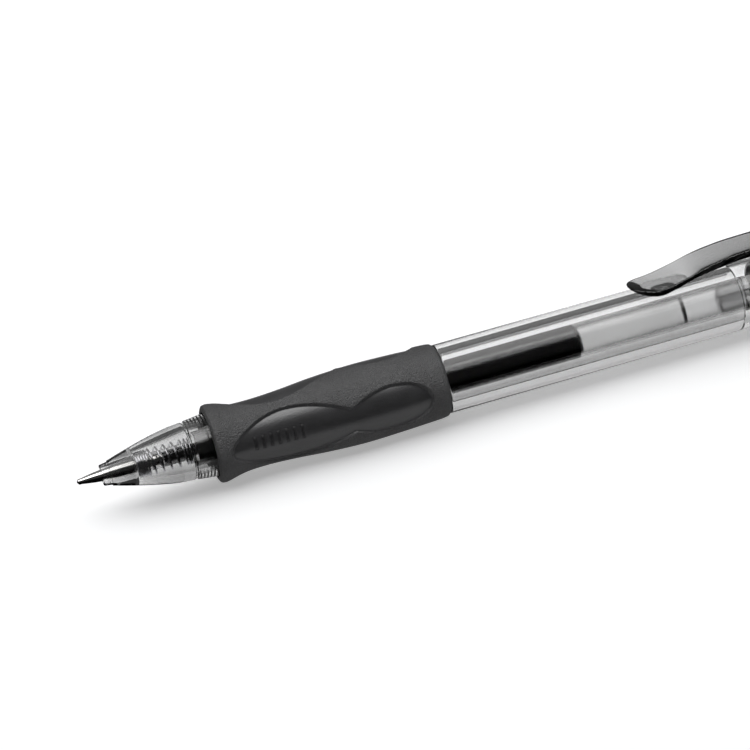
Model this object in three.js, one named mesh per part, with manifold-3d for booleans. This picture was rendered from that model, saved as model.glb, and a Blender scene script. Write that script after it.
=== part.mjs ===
// A retractable gel pen, point out, lying along X with its clip on top.
// Lengths are millimetres. A station is a distance along the pen, from the front of the writing ball.
import * as THREE from "three";
import { mergeVertices } from "three/addons/utils/BufferGeometryUtils.js";
import Module from "manifold-3d";

const wasm = await Module();
wasm.setup();

// ---- Driving dimensions -------------------------------------------------------------------------
const PEN_LENGTH = 141; // writing ball to the end of the button, point out
const BARREL_R = 5.4;
const BORE_R = 3.8;
const REFILL_R = 2.68;
const CLICK_TRAVEL = 5.5; // how far the point draws back
const RUNNING_GAP = 0.1; // between pieces that slide or turn on each other
const SEAT_GAP = 0.05; // between pieces that are pressed or screwed together
const ROUND_SIDES = 32;

const NOSE = {
  front: 3.77,
  rimEnd: 5.03,
  threadFront: 17.15,
  rear: 22.6,
  pointBoreR: 1.22,
  springSeat: 8.9,
  skirtR: 5.0,
};
const SPIGOT = { front: NOSE.threadFront + RUNNING_GAP, rear: NOSE.rear + RUNNING_GAP, r: 3.98, boreR: 3.35 };
const GRIP = { front: 20.6, rear: 57.35, seatR: 4.45, keyR: 4.7, keyWidth: 1.0, keyStations: [40, 51] };
const BARREL = { gripShoulder: 57.4, counterboreFront: 106, rear: 130, counterboreR: 4.5 };
const POINT = { lip: 0.19, shankR: 1.1, tailR: 0.95, tailRear: 13.2, boreR: 0.55, ballR: 0.35, capillaryR: 0.2 };
const HOLDER = { front: 10.6, stemR: 1.35, flange: 17.3, tubeStop: 18.4, rear: 23, boreR: 0.62 };
const TUBE = { front: HOLDER.tubeStop + SEAT_GAP, rear: 107, boreR: 2.0 };
const INK_END = 80.1;
const FOLLOWER_LENGTH = 17;
const END_PLUG = { front: 103, rear: 108.2, ventR: 0.4 };
const SLEEVE = { front: 109.5, r: 4.45, grooveR: 3.95, ribR: 3.25, ribRear: 127.9, flangeFront: 132.7, rear: 134.2 };
const ROTOR = { front: 108.4, stemR: 2.5, coreFront: 112.4, coreR: 3.05, finFront: 112.8, finRear: 117, finR: 3.85 };
const BUTTON = { crown: 118.6, r: 3.05, lugFront: 119.4, lugRear: 122.2, lugR: 3.85, boreR: 2.2, boreRear: 138 };
const CLIP = {
  tip: 89.2,
  touch: 93.4,
  rear: SLEEVE.flangeFront - SEAT_GAP,
  halfWidth: 3.8,
  rootHalfWidth: 2.9,
  armTop: 8.7,
  root: { station: 128.2, height: 8.05, r: 0.65 },
};

// The click mechanism repeats four times round the pen. Angles are in degrees about +X.
const CAM_SIDES = 4;
const CAM_PITCH = 360 / CAM_SIDES;
const LATCH_TURN = CAM_PITCH / 2; // the rotor's turn from its latched place to the groove
const FIN_HALF = 9;
const GROOVE_HALF = 18;
const LUG_HALF = 12;
const STOP_TOOTH_START = 21; // how far past the latched fin's centre line the stop tooth stands
const CROWN_TEETH = 2 * CAM_SIDES;
const CROWN_HEIGHT = 0.9;

// ---- Materials ----------------------------------------------------------------------------------
function finish(colour, roughness, metalness = 0, opacity = 1) {
  return new THREE.MeshStandardMaterial({ color: colour, roughness, metalness, opacity, transparent: opacity < 1 });
}
const CLEAR_PLASTIC = finish(0xd6dadd, 0.08, 0, 0.35);
const SMOKE_PLASTIC = finish(0x5c6066, 0.08, 0, 0.5);
const GRIP_RUBBER = finish(0x2a2a2c, 0.75);
const TUBE_PLASTIC = finish(0xc9ccce, 0.25, 0, 0.5);
const BLACK_INK = finish(0x060607, 0.3);
const FOLLOWER_GEL = finish(0xd9d6c8, 0.15, 0, 0.5);
const GUIDE_PLASTIC = finish(0x3a3c40, 0.3);
const POINT_METAL = finish(0xb9b7b0, 0.22, 1);
const BALL_METAL = finish(0x77787c, 0.15, 1);
const SPRING_STEEL = finish(0xa9acb0, 0.25, 1);

// ---- Geometry helpers ---------------------------------------------------------------------------
const degrees = THREE.MathUtils.degToRad;

function signedArea(points) {
  const next = (i) => points[(i + 1) % points.length];
  return points.reduce((sum, p, i) => sum + p.x * next(i).y - next(i).x * p.y, 0) / 2;
}

// A body of revolution about X from a closed outline of [station, radius] pairs.
function turned(outline, sides = ROUND_SIDES) {
  const points = outline.map(([station, radius]) => new THREE.Vector2(radius, station));
  if (signedArea(points) < 0) points.reverse();
  const onAxis = points.findIndex((p, i) => p.x === 0 && points[(i + 1) % points.length].x === 0);
  const start = onAxis < 0 ? 0 : onAxis + 1;
  const ordered = [...points.slice(start), ...points.slice(0, start)];
  if (onAxis < 0) ordered.push(ordered[0].clone());
  return new THREE.LatheGeometry(ordered, sides).rotateZ(-Math.PI / 2);
}

// Points on a smooth curve through the given [station, radius] pairs.
function smooth(pairs, divisions) {
  const curve = new THREE.SplineCurve(pairs.map(([station, radius]) => new THREE.Vector2(station, radius)));
  return curve.getPoints(divisions).map((p) => [p.x, p.y]);
}

// A curved block about X between two radii. Its front and rear ends are stations given by functions of the angle.
function sector({ from, to, steps, inner, outer, front, rear }) {
  const ring = to - from >= 360;
  const columns = ring ? steps : steps + 1;
  const position = [];
  for (let i = 0; i < columns; i++) {
    const angle = from + ((to - from) * i) / steps;
    const [c, s] = [Math.cos(degrees(angle)), Math.sin(degrees(angle))];
    for (const [station, r] of [[front(angle), inner], [front(angle), outer], [rear(angle), outer], [rear(angle), inner]])
      position.push(station, r * c, r * s);
  }
  const index = [];
  const quad = (a, b, c, d) => index.push(a, b, c, a, c, d);
  for (let i = 0; i < (ring ? columns : columns - 1); i++) {
    const [a, b] = [4 * i, 4 * ((i + 1) % columns)];
    for (let k = 0; k < 4; k++) quad(a + k, b + k, b + ((k + 1) % 4), a + ((k + 1) % 4));
  }
  if (!ring) {
    const last = 4 * (columns - 1);
    quad(0, 1, 2, 3);
    quad(last + 3, last + 2, last + 1, last);
  }
  const geometry = new THREE.BufferGeometry();
  geometry.setAttribute("position", new THREE.Float32BufferAttribute(position, 3));
  return geometry.setIndex(index);
}

// A round wire of the given radius along a curve.
function wire(curve, wireR, steps, sides) {
  const section = new THREE.Shape();
  for (let i = 0; i < sides; i++) {
    const angle = (2 * Math.PI * i) / sides;
    const [x, y] = [wireR * Math.cos(angle), wireR * Math.sin(angle)];
    if (i) section.lineTo(x, y);
    else section.moveTo(x, y);
  }
  return new THREE.ExtrudeGeometry(section, { steps, extrudePath: curve, bevelEnabled: false });
}

// A coil about X. turnsAt and radiusAt give the turns wound and the coil radius at each share of its length.
class Coil extends THREE.Curve {
  constructor(front, rear, turnsAt, radiusAt) {
    super();
    Object.assign(this, { front, rear, turnsAt, radiusAt });
  }
  getPoint(share, target = new THREE.Vector3()) {
    const angle = 2 * Math.PI * this.turnsAt(share);
    const r = this.radiusAt(share);
    return target.set(THREE.MathUtils.lerp(this.front, this.rear, share), r * Math.cos(angle), r * Math.sin(angle));
  }
}

function toSolid(geometry) {
  const bare = geometry.index ? geometry.toNonIndexed() : geometry.clone();
  bare.deleteAttribute("normal");
  bare.deleteAttribute("uv");
  const merged = mergeVertices(bare, 1e-4);
  const vertProperties = merged.attributes.position.array;
  return new wasm.Manifold(new wasm.Mesh({ numProp: 3, vertProperties, triVerts: new Uint32Array(merged.index.array) }));
}

function toGeometry(solid) {
  const { vertProperties, triVerts } = solid.getMesh();
  const geometry = new THREE.BufferGeometry();
  geometry.setAttribute("position", new THREE.BufferAttribute(vertProperties, 3));
  return geometry.setIndex(new THREE.BufferAttribute(triVerts, 1));
}

const joined = (...geometries) => toGeometry(geometries.map(toSolid).reduce((a, b) => a.add(b)));

function repeated(count, make) {
  return Array.from({ length: count }, (_, i) => make((360 / count) * i));
}

const pen = new THREE.Group();

function place(name, geometry, material) {
  const mesh = new THREE.Mesh(geometry, material);
  mesh.name = name;
  pen.add(mesh);
}

// ---- Nose cone: tapered shell with a rim, a seat for the return spring and a threaded skirt ------
function noseCone() {
  const flank = smooth([[5.06, 1.93], [7.1, 2.52], [10.7, 3.44], [14.3, 4.17], [17.05, 4.45]], 7);
  const skirtGroove = [[17.25, 4.33], [17.5, 4.33], [17.62, 4.52]];
  return turned([
    [NOSE.front, NOSE.pointBoreR],
    [NOSE.front, 1.45],
    [NOSE.front + 0.15, 1.62],
    [NOSE.rimEnd, 1.78],
    ...flank,
    ...skirtGroove,
    [21.4, NOSE.skirtR - 0.04],
    [NOSE.rear, NOSE.skirtR],
    [NOSE.rear, SPIGOT.r + SEAT_GAP],
    [NOSE.threadFront, SPIGOT.r + SEAT_GAP],
    [NOSE.threadFront, 3.31],
    [NOSE.springSeat, 2.25],
    [NOSE.springSeat, NOSE.pointBoreR],
  ]);
}

// ---- Barrel: clear tube with a spigot for the nose cone and raised rings that key the grip --------
function barrel() {
  const keys = GRIP.keyStations.flatMap((station) => [
    [station - GRIP.keyWidth / 2, GRIP.seatR],
    [station - GRIP.keyWidth / 4, GRIP.keyR],
    [station + GRIP.keyWidth / 4, GRIP.keyR],
    [station + GRIP.keyWidth / 2, GRIP.seatR],
  ]);
  return turned([
    [SPIGOT.front, SPIGOT.boreR],
    [SPIGOT.front, SPIGOT.r],
    [SPIGOT.rear, SPIGOT.r],
    [SPIGOT.rear, GRIP.seatR],
    ...keys,
    [BARREL.gripShoulder, GRIP.seatR],
    [BARREL.gripShoulder, BARREL_R],
    [BARREL.rear, BARREL_R],
    [BARREL.rear, BARREL.counterboreR],
    [BARREL.counterboreFront, BARREL.counterboreR],
    [BARREL.counterboreFront, BORE_R],
    [28, BORE_R],
    [24, SPIGOT.boreR],
  ]);
}

// ---- Grip: rubber sleeve with a waist and three figure-of-eight finger recesses -------------------
const RECESS = {
  count: 3,
  firstAngle: 1, // the recess that faces the front of the pen, in degrees from -Y towards +Z
  depth: 0.42,
  lobes: [
    { centre: 32.0, halfLength: 9.9, halfAngle: 51 },
    { centre: 47.6, halfLength: 7.0, halfAngle: 37 },
  ],
};

// How deep the finger recesses are at a station and an angle, in degrees from -Y towards +Z.
function recessDepth(station, angle) {
  const pitch = 360 / RECESS.count;
  const offAxis = THREE.MathUtils.euclideanModulo(angle - RECESS.firstAngle + pitch / 2, pitch) - pitch / 2;
  const inLobe = ({ centre, halfLength, halfAngle }) =>
    Math.max(0, 1 - ((station - centre) / halfLength) ** 2 - (offAxis / halfAngle) ** 2);
  return RECESS.depth * Math.pow(Math.max(...RECESS.lobes.map(inLobe)), 0.6);
}

function grip() {
  const seat = GRIP.seatR + SEAT_GAP;
  const collar = NOSE.skirtR + SEAT_GAP;
  const lip = [[21.1, collar], [GRIP.front, 5.5], [20.85, 5.93], [21.6, 6.07]];
  const body = smooth(
    [[21.6, 6.07], [22.4, 5.93], [24, 5.57], [25.8, 5.35], [29, 5.32], [33, 5.53], [38, 5.94], [43.8, 6.2],
      [50, 6.07], [56.4, 5.8]],
    24,
  );
  const keys = GRIP.keyStations.flatMap((station) => [
    [station - GRIP.keyWidth / 2 - RUNNING_GAP, seat],
    [station - GRIP.keyWidth / 4 - RUNNING_GAP, GRIP.keyR + SEAT_GAP],
    [station + GRIP.keyWidth / 4 + RUNNING_GAP, GRIP.keyR + SEAT_GAP],
    [station + GRIP.keyWidth / 2 + RUNNING_GAP, seat],
  ]);
  const geometry = turned(
    [
      ...lip,
      ...body.slice(1),
      [57.0, 5.7],
      [GRIP.rear, 5.45],
      [GRIP.rear, seat],
      ...keys.reverse(),
      [NOSE.rear + RUNNING_GAP, seat],
      [NOSE.rear + RUNNING_GAP, collar],
    ],
    36,
  );
  const position = geometry.attributes.position;
  for (let i = 0; i < position.count; i++) {
    const [station, y, z] = [position.getX(i), position.getY(i), position.getZ(i)];
    const r = Math.hypot(y, z);
    if (r <= collar + RUNNING_GAP) continue;
    const angle = THREE.MathUtils.radToDeg(Math.atan2(z, -y));
    const shrink = (r - recessDepth(station, angle)) / r;
    position.setXYZ(i, station, y * shrink, z * shrink);
  }
  return geometry;
}

// ---- Clip: a collar with a saddle behind the barrel, and a sprung arm that is held in the saddle ---
// An outline of [station, height] pairs, as thick as twice halfWidth across the pen.
function slab(side, halfWidth) {
  const shape = new THREE.Shape(side.map(([station, height]) => new THREE.Vector2(station, height)));
  return new THREE.ExtrudeGeometry(shape, { depth: 2 * halfWidth, bevelEnabled: false })
    .translate(0, 0, -halfWidth)
    .rotateX(Math.PI / 2);
}

// Points round the arm's root at the given radius, from one angle to another in degrees from +X.
function rootArc(radius, from, to, steps) {
  return Array.from({ length: steps + 1 }, (_, i) => {
    const angle = degrees(from + ((to - from) * i) / steps);
    return [CLIP.root.station + radius * Math.cos(angle), CLIP.root.height + radius * Math.sin(angle)];
  });
}

function clipArm() {
  const underside = [[90.2, 5.85], [91.6, 5.56], [CLIP.touch, 5.5], [96.3, 5.95], [100.5, 6.75], [110, 7.3]];
  const top = [[112, 8.62], [103, 8.1], [97.3, 7.0], [CLIP.touch, 6.4], [90.6, 6.5], [CLIP.tip, 6.7]];
  const side = [
    [CLIP.tip, 6.1],
    ...smooth(underside, 12),
    ...rootArc(CLIP.root.r, -90, 90, 8),
    ...smooth(top, 12),
  ];
  const plan = new THREE.Shape();
  plan.moveTo(CLIP.root.station + 2, -CLIP.rootHalfWidth);
  plan.lineTo(CLIP.root.station + 2, CLIP.rootHalfWidth);
  plan.lineTo(CLIP.touch + 1.2, CLIP.halfWidth);
  plan.absellipse(CLIP.touch + 1.2, 0, CLIP.touch + 1.2 - CLIP.tip, CLIP.halfWidth, Math.PI / 2, 1.5 * Math.PI);
  const prism = new THREE.ExtrudeGeometry(plan, { depth: 20, bevelEnabled: false, curveSegments: 14 });
  return toGeometry(toSolid(slab(side, 2 * CLIP.halfWidth)).intersect(toSolid(prism)));
}

function clipCollar() {
  const front = BARREL.rear + SEAT_GAP;
  const overhang = BARREL_R + 0.2;
  const saddle = slab(
    [
      [CLIP.root.station - 1, overhang],
      [front, overhang],
      [front, 4.9],
      [CLIP.rear, 4.9],
      [CLIP.rear, 7.8],
      [131.9, 8.5],
      [130.8, CLIP.armTop],
      ...rootArc(CLIP.root.r + RUNNING_GAP, 60, -90, 8),
      [CLIP.root.station - 1, CLIP.root.height - CLIP.root.r - RUNNING_GAP],
    ],
    CLIP.rootHalfWidth,
  );
  const ring = turned([
    [front, SLEEVE.r + SEAT_GAP],
    [front, BARREL_R],
    [CLIP.rear, BARREL_R],
    [CLIP.rear, SLEEVE.r + SEAT_GAP],
  ]);
  return joined(saddle, ring);
}

// ---- Click mechanism ------------------------------------------------------------------------------
// The line along which a fin's sloped rear end slides: the station of the ramp at an angle from the latched fin.
const rampStation = (angle) => ROTOR.finRear + (CLICK_TRAVEL / LATCH_TURN) * angle;

// Guide sleeve: four long ribs, each with a ramp and a stop tooth at its front end, and a flange that holds the clip.
function guideSleeve() {
  const tube = turned([
    [SLEEVE.front, SLEEVE.grooveR],
    [SLEEVE.front, SLEEVE.r],
    [SLEEVE.flangeFront, SLEEVE.r],
    [SLEEVE.flangeFront, BARREL_R],
    [SLEEVE.rear - 0.4, BARREL_R],
    [SLEEVE.rear, BARREL_R - 0.5],
    [SLEEVE.rear, BUTTON.r + RUNNING_GAP],
    [SLEEVE.ribRear, BUTTON.r + RUNNING_GAP],
    [SLEEVE.ribRear, SLEEVE.grooveR],
  ]);
  const ribs = repeated(CAM_SIDES, (groove) => {
    const latch = groove - LATCH_TURN;
    const shared = { inner: SLEEVE.ribR, outer: SLEEVE.grooveR + 0.2, rear: () => SLEEVE.ribRear + 0.2 };
    const ramp = sector({
      ...shared,
      from: latch - STOP_TOOTH_START,
      to: groove - GROOVE_HALF,
      steps: 8,
      front: (angle) => rampStation(angle - latch) + RUNNING_GAP,
    });
    const tooth = sector({
      ...shared,
      from: groove - CAM_PITCH + GROOVE_HALF,
      to: latch - STOP_TOOTH_START + 0.5,
      steps: 2,
      front: () => rampStation(-STOP_TOOTH_START) - 0.6,
    });
    return joined(ramp, tooth);
  });
  return joined(tube, ...ribs);
}

// A zigzag of crown teeth: 0 in the valleys and CROWN_HEIGHT on the peaks.
function crownTooth(angle) {
  const share = THREE.MathUtils.euclideanModulo((angle * CROWN_TEETH) / 360, 1);
  return CROWN_HEIGHT * (1 - Math.abs(2 * share - 1));
}

// Rotor: bears on the refill, is latched by its four fins, and carries a crown and a pilot pin.
function ratchetRotor() {
  const core = turned([
    [ROTOR.front, 0],
    [ROTOR.front, ROTOR.stemR],
    [ROTOR.coreFront, ROTOR.stemR],
    [ROTOR.coreFront, ROTOR.coreR],
    [ROTOR.finRear - 0.4, ROTOR.coreR],
    [ROTOR.finRear - 0.4, 1.3],
    [121, 1.3],
    [121.4, 0.9],
    [121.4, 0],
  ]);
  const crown = sector({
    from: 0,
    to: 360,
    steps: 4 * CROWN_TEETH,
    inner: 1.9,
    outer: ROTOR.coreR - 0.02,
    front: () => ROTOR.finRear - 0.8,
    rear: (angle) => ROTOR.finRear - 0.4 + crownTooth(angle),
  });
  const fins = repeated(CAM_SIDES, (groove) => {
    const latch = groove - LATCH_TURN;
    const shared = { from: latch - FIN_HALF, to: latch + FIN_HALF, steps: 3, front: () => ROTOR.finFront };
    const foot = sector({
      ...shared,
      inner: ROTOR.coreR - 0.3,
      outer: BUTTON.r + 0.3,
      rear: () => rampStation(-FIN_HALF) - 0.1,
    });
    const blade = sector({
      ...shared,
      inner: BUTTON.r + RUNNING_GAP,
      outer: ROTOR.finR,
      rear: (angle) => rampStation(angle - latch),
    });
    return joined(foot, blade);
  });
  return joined(core, crown, ...fins);
}

// Push button: hollow plunger with a crown of teeth in front and four lugs that run in the sleeve's grooves.
function pushButton() {
  const shell = turned([
    [BUTTON.crown, 1.9],
    [BUTTON.crown, BUTTON.r],
    [PEN_LENGTH - 0.9, BUTTON.r],
    [PEN_LENGTH - 0.3, BUTTON.r - 0.25],
    [PEN_LENGTH, BUTTON.r - 0.8],
    [PEN_LENGTH, 0],
    [BUTTON.boreRear, 0],
    [BUTTON.boreRear, BUTTON.boreR],
    [BUTTON.lugRear + 1, BUTTON.boreR],
    [BUTTON.lugRear, 1.9],
  ]);
  const crown = sector({
    from: 0,
    to: 360,
    steps: 4 * CROWN_TEETH,
    inner: 1.92,
    outer: BUTTON.r - 0.02,
    front: (angle) => BUTTON.crown - CROWN_HEIGHT + crownTooth(angle),
    rear: () => BUTTON.crown + 0.4,
  });
  const lugs = repeated(CAM_SIDES, (groove) =>
    sector({
      from: groove - LUG_HALF,
      to: groove + LUG_HALF,
      steps: 3,
      inner: BUTTON.r - 0.4,
      outer: BUTTON.lugR,
      front: () => BUTTON.lugFront,
      rear: () => BUTTON.lugRear,
    }),
  );
  return joined(shell, crown, ...lugs);
}

// ---- Refill ---------------------------------------------------------------------------------------
// Metal point: cone, shank and a spherical socket for the ball, bored from behind.
function writingPoint() {
  const socketR = POINT.ballR + 0.04;
  const socket = [30, 60, 90].map((angle) => [
    POINT.ballR + socketR * Math.cos(degrees(angle)),
    socketR * Math.sin(degrees(angle)),
  ]);
  return turned([
    [POINT.lip, 0.37],
    [POINT.lip, 0.42],
    [0.9, 0.47],
    [2.5, 0.75],
    [4.6, 0.97],
    [6.2, POINT.shankR],
    [HOLDER.front - SEAT_GAP, POINT.shankR],
    [HOLDER.front - SEAT_GAP, POINT.tailR],
    [POINT.tailRear, POINT.tailR],
    [POINT.tailRear, POINT.boreR],
    [1.5, POINT.boreR],
    [1.3, POINT.capillaryR],
    [0.72, POINT.capillaryR],
    ...socket,
  ]);
}

function tipHolder() {
  return turned([
    [HOLDER.front, POINT.tailR + SEAT_GAP],
    [HOLDER.front, HOLDER.stemR - 0.1],
    [HOLDER.front + 0.4, HOLDER.stemR],
    [HOLDER.flange, HOLDER.stemR],
    [HOLDER.flange, 2.35],
    [HOLDER.flange + 0.5, REFILL_R - 0.02],
    [HOLDER.tubeStop, REFILL_R - 0.02],
    [HOLDER.tubeStop, TUBE.boreR - SEAT_GAP],
    [HOLDER.rear, TUBE.boreR - SEAT_GAP],
    [HOLDER.rear, HOLDER.boreR],
    [POINT.tailRear + SEAT_GAP, HOLDER.boreR],
    [POINT.tailRear + SEAT_GAP, POINT.tailR + SEAT_GAP],
  ]);
}

function refillTube() {
  return turned([
    [TUBE.front, TUBE.boreR],
    [TUBE.front, REFILL_R],
    [TUBE.rear, REFILL_R],
    [TUBE.rear, TUBE.boreR],
  ]);
}

// Ink: a thin thread through the tip holder and the column in the tube, with a domed end.
function inkColumn() {
  const r = TUBE.boreR - SEAT_GAP;
  return turned([
    [POINT.tailRear + 0.2, 0],
    [POINT.tailRear + 0.2, HOLDER.boreR - SEAT_GAP],
    [HOLDER.rear + SEAT_GAP, HOLDER.boreR - SEAT_GAP],
    [HOLDER.rear + SEAT_GAP, r],
    [INK_END - 0.5, r],
    [INK_END - 0.15, r * 0.6],
    [INK_END, 0],
  ]);
}

// Follower: a plug of clear grease that seals the ink, hollowed in front by the ink's dome.
function inkFollower() {
  const r = TUBE.boreR - SEAT_GAP;
  const rear = INK_END + FOLLOWER_LENGTH;
  return turned([
    [INK_END + 0.05, 0],
    [INK_END - 0.1, r * 0.6],
    [INK_END - 0.45, r],
    [rear, r],
    [rear - 0.5, r * 0.6],
    [rear - 0.7, 0],
  ]);
}

function refillEndPlug() {
  return turned([
    [END_PLUG.front, END_PLUG.ventR],
    [END_PLUG.front, TUBE.boreR - 0.25],
    [END_PLUG.front + 0.5, TUBE.boreR - SEAT_GAP],
    [TUBE.rear + SEAT_GAP, TUBE.boreR - SEAT_GAP],
    [TUBE.rear + SEAT_GAP, REFILL_R],
    [END_PLUG.rear, REFILL_R],
    [END_PLUG.rear, END_PLUG.ventR],
  ]);
}

// ---- Springs --------------------------------------------------------------------------------------
// Return spring: closed turns at both ends and open turns between them.
function returnSpring() {
  const wireR = 0.17;
  const [closedFront, open, closedRear] = [5, 4.6, 1.4];
  const closedPitch = 2 * wireR + 0.05;
  const front = NOSE.springSeat + wireR + SEAT_GAP;
  const rear = HOLDER.flange - wireR - SEAT_GAP;
  const length = rear - front;
  const frontShare = (closedFront * closedPitch) / length;
  const rearShare = (closedRear * closedPitch) / length;
  const turnsAt = (share) => {
    if (share < frontShare) return (share / frontShare) * closedFront;
    if (share < 1 - rearShare) return closedFront + ((share - frontShare) / (1 - rearShare - frontShare)) * open;
    return closedFront + open + ((share - 1 + rearShare) / rearShare) * closedRear;
  };
  const coil = new Coil(front, rear, turnsAt, () => 1.88);
  return wire(coil, wireR, 11 * 9, 5);
}

// Ball spring: a fine coil in the point's bore whose straight front end presses on the ball.
function ballSpring() {
  const radiusAt = (share) => 0.38 * THREE.MathUtils.smoothstep(share, 0.1, 0.2);
  const coil = new Coil(0.8, 11.5, (share) => 10 * Math.max(0, share - 0.1), radiusAt);
  return wire(coil, 0.06, 72, 4);
}

// ---- Assembly -------------------------------------------------------------------------------------
place("barrel", barrel(), CLEAR_PLASTIC);
place("grip", grip(), GRIP_RUBBER);
place("nose_cone", noseCone(), SMOKE_PLASTIC);
place("clip_collar", clipCollar(), SMOKE_PLASTIC);
place("clip_arm", clipArm(), SMOKE_PLASTIC);
place("guide_sleeve", guideSleeve(), GUIDE_PLASTIC);
place("push_button", pushButton(), SMOKE_PLASTIC);
place("ratchet_rotor", ratchetRotor(), GUIDE_PLASTIC);
place("refill_tube", refillTube(), TUBE_PLASTIC);
place("ink_column", inkColumn(), BLACK_INK);
place("ink_follower", inkFollower(), FOLLOWER_GEL);
place("refill_end_plug", refillEndPlug(), TUBE_PLASTIC);
place("tip_holder", tipHolder(), TUBE_PLASTIC);
place("writing_point", writingPoint(), POINT_METAL);
place("writing_ball", new THREE.SphereGeometry(POINT.ballR, 12, 8).translate(POINT.ballR, 0, 0), BALL_METAL);
place("ball_spring", ballSpring(), SPRING_STEEL);
place("return_spring", returnSpring(), SPRING_STEEL);

// The origin is the middle of the pen's length, on the surface that the grip rests on.
const gripBox = new THREE.Box3().setFromObject(pen.getObjectByName("grip"));
pen.position.set(-PEN_LENGTH / 2, 0, -gripBox.min.z);

export default pen;
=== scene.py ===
import math

import bmesh
import bpy
from bpy.props import FloatProperty, FloatVectorProperty, IntProperty, PointerProperty
from mathutils import Matrix, Vector


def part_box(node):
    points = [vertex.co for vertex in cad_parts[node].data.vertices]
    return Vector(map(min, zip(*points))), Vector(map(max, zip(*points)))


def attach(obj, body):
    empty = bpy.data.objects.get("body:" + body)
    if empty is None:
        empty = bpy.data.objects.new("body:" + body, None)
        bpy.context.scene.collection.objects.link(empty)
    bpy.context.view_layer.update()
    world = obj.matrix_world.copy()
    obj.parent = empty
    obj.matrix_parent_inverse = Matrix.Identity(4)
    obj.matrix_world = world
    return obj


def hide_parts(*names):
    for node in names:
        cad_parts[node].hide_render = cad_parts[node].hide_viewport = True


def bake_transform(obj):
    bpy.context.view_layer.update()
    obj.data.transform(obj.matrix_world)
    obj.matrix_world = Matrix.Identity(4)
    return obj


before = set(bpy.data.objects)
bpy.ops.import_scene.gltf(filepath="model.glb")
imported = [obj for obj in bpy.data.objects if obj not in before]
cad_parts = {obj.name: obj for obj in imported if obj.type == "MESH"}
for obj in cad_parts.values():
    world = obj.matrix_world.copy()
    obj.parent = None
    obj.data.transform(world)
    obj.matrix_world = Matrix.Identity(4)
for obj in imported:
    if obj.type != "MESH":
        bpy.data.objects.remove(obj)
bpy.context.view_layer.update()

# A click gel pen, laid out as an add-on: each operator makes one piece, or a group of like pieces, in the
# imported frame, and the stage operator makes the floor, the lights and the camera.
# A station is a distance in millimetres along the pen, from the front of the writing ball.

bl_info = {
    "name": "Click Gel Pen",
    "version": (1, 0, 0),
    "blender": (4, 5, 0),
    "location": "View3D > Sidebar > Gel Pen",
    "description": "Builds a click gel pen with a clear barrel, a contoured grip and a sprung clip",
    "category": "Object",
}

MM = 0.001
POINT_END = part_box("writing_ball")[0][0]
AXIS_Z = (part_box("refill_tube")[0][2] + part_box("refill_tube")[1][2]) / 2


def front_of(node):
    """The station of a CAD node's front end."""
    return (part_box(node)[0][0] - POINT_END) / MM


def rear_of(node):
    """The station of a CAD node's rear end."""
    return (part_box(node)[1][0] - POINT_END) / MM


def radius_of(node):
    """Half of a CAD node's width across the pen, in millimetres."""
    low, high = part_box(node)
    return (high[1] - low[1]) / 2 / MM


# ---- Settings ------------------------------------------------------------------------------------
class PlasticSettings(bpy.types.PropertyGroup):
    barrel_grey: FloatProperty(
        name="Barrel grey", description="Light that the barrel's plastic takes off, per millimetre",
        min=0, max=2, default=0.095,
    )
    nose_grey: FloatProperty(
        name="Nose grey", description="Light that the nose cone's plastic takes off, per millimetre",
        min=0, max=2, default=0.29,
    )
    clip_grey: FloatProperty(
        name="Clip grey", description="Light that the clip's and button's plastic takes off, per millimetre",
        min=0, max=2, default=0.7,
    )
    refill_grey: FloatProperty(
        name="Refill grey", description="Light that the refill's plastic takes off, per millimetre",
        min=0, max=2, default=0.12,
    )
    index: FloatProperty(
        name="Refractive index", description="Refractive index of the clear plastics",
        min=1, max=2, default=1.49,
    )


class ThreadSettings(bpy.types.PropertyGroup):
    pitch: FloatProperty(
        name="Thread pitch", description="Distance between turns of the nose thread, in millimetres",
        min=0.2, max=2, default=0.52,
    )
    depth: FloatProperty(
        name="Thread depth", description="Height of the nose thread, in millimetres",
        min=0, max=0.5, default=0.035,
    )


class GripSettings(bpy.types.PropertyGroup):
    tone: FloatVectorProperty(
        name="Rubber colour", description="Colour of the grip", subtype="COLOR", min=0, max=1,
        default=(0.024, 0.024, 0.0255),
    )
    recess_depth: FloatProperty(
        name="Recess depth", description="Depth of the finger recesses, in millimetres",
        min=0, max=0.6, default=0.4,
    )
    pillow_height: FloatProperty(
        name="Pad height", description="Rise of a recess's floor towards its middle, in millimetres",
        min=0, max=0.5, default=0.12,
    )
    groove_count: IntProperty(
        name="Grooves", description="Short grooves across each finger recess", min=0, max=12, default=7,
    )
    groove_depth: FloatProperty(
        name="Groove depth", description="Depth of the short grooves, in millimetres",
        min=0, max=0.4, default=0.32,
    )
    grain: FloatProperty(
        name="Grain size", description="Size of the rubber's moulded grain, in millimetres",
        min=0.05, max=1, default=0.21,
    )


class SpringSettings(bpy.types.PropertyGroup):
    wire: FloatProperty(
        name="Wire radius", description="Radius of the return spring's wire, in millimetres",
        min=0.05, max=0.5, default=0.17,
    )
    coil: FloatProperty(
        name="Coil radius", description="Radius of the coil's centre line, in millimetres",
        min=1, max=3, default=1.88,
    )
    open_turns: FloatProperty(
        name="Open turns", description="Turns that take the travel", min=1, max=20, default=4.6,
    )
    closed_front: FloatProperty(
        name="Front closed turns", description="Closed turns against the nose cone", min=0, max=10, default=5,
    )
    closed_rear: FloatProperty(
        name="Rear closed turns", description="Closed turns against the refill", min=0, max=10, default=1.4,
    )


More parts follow.
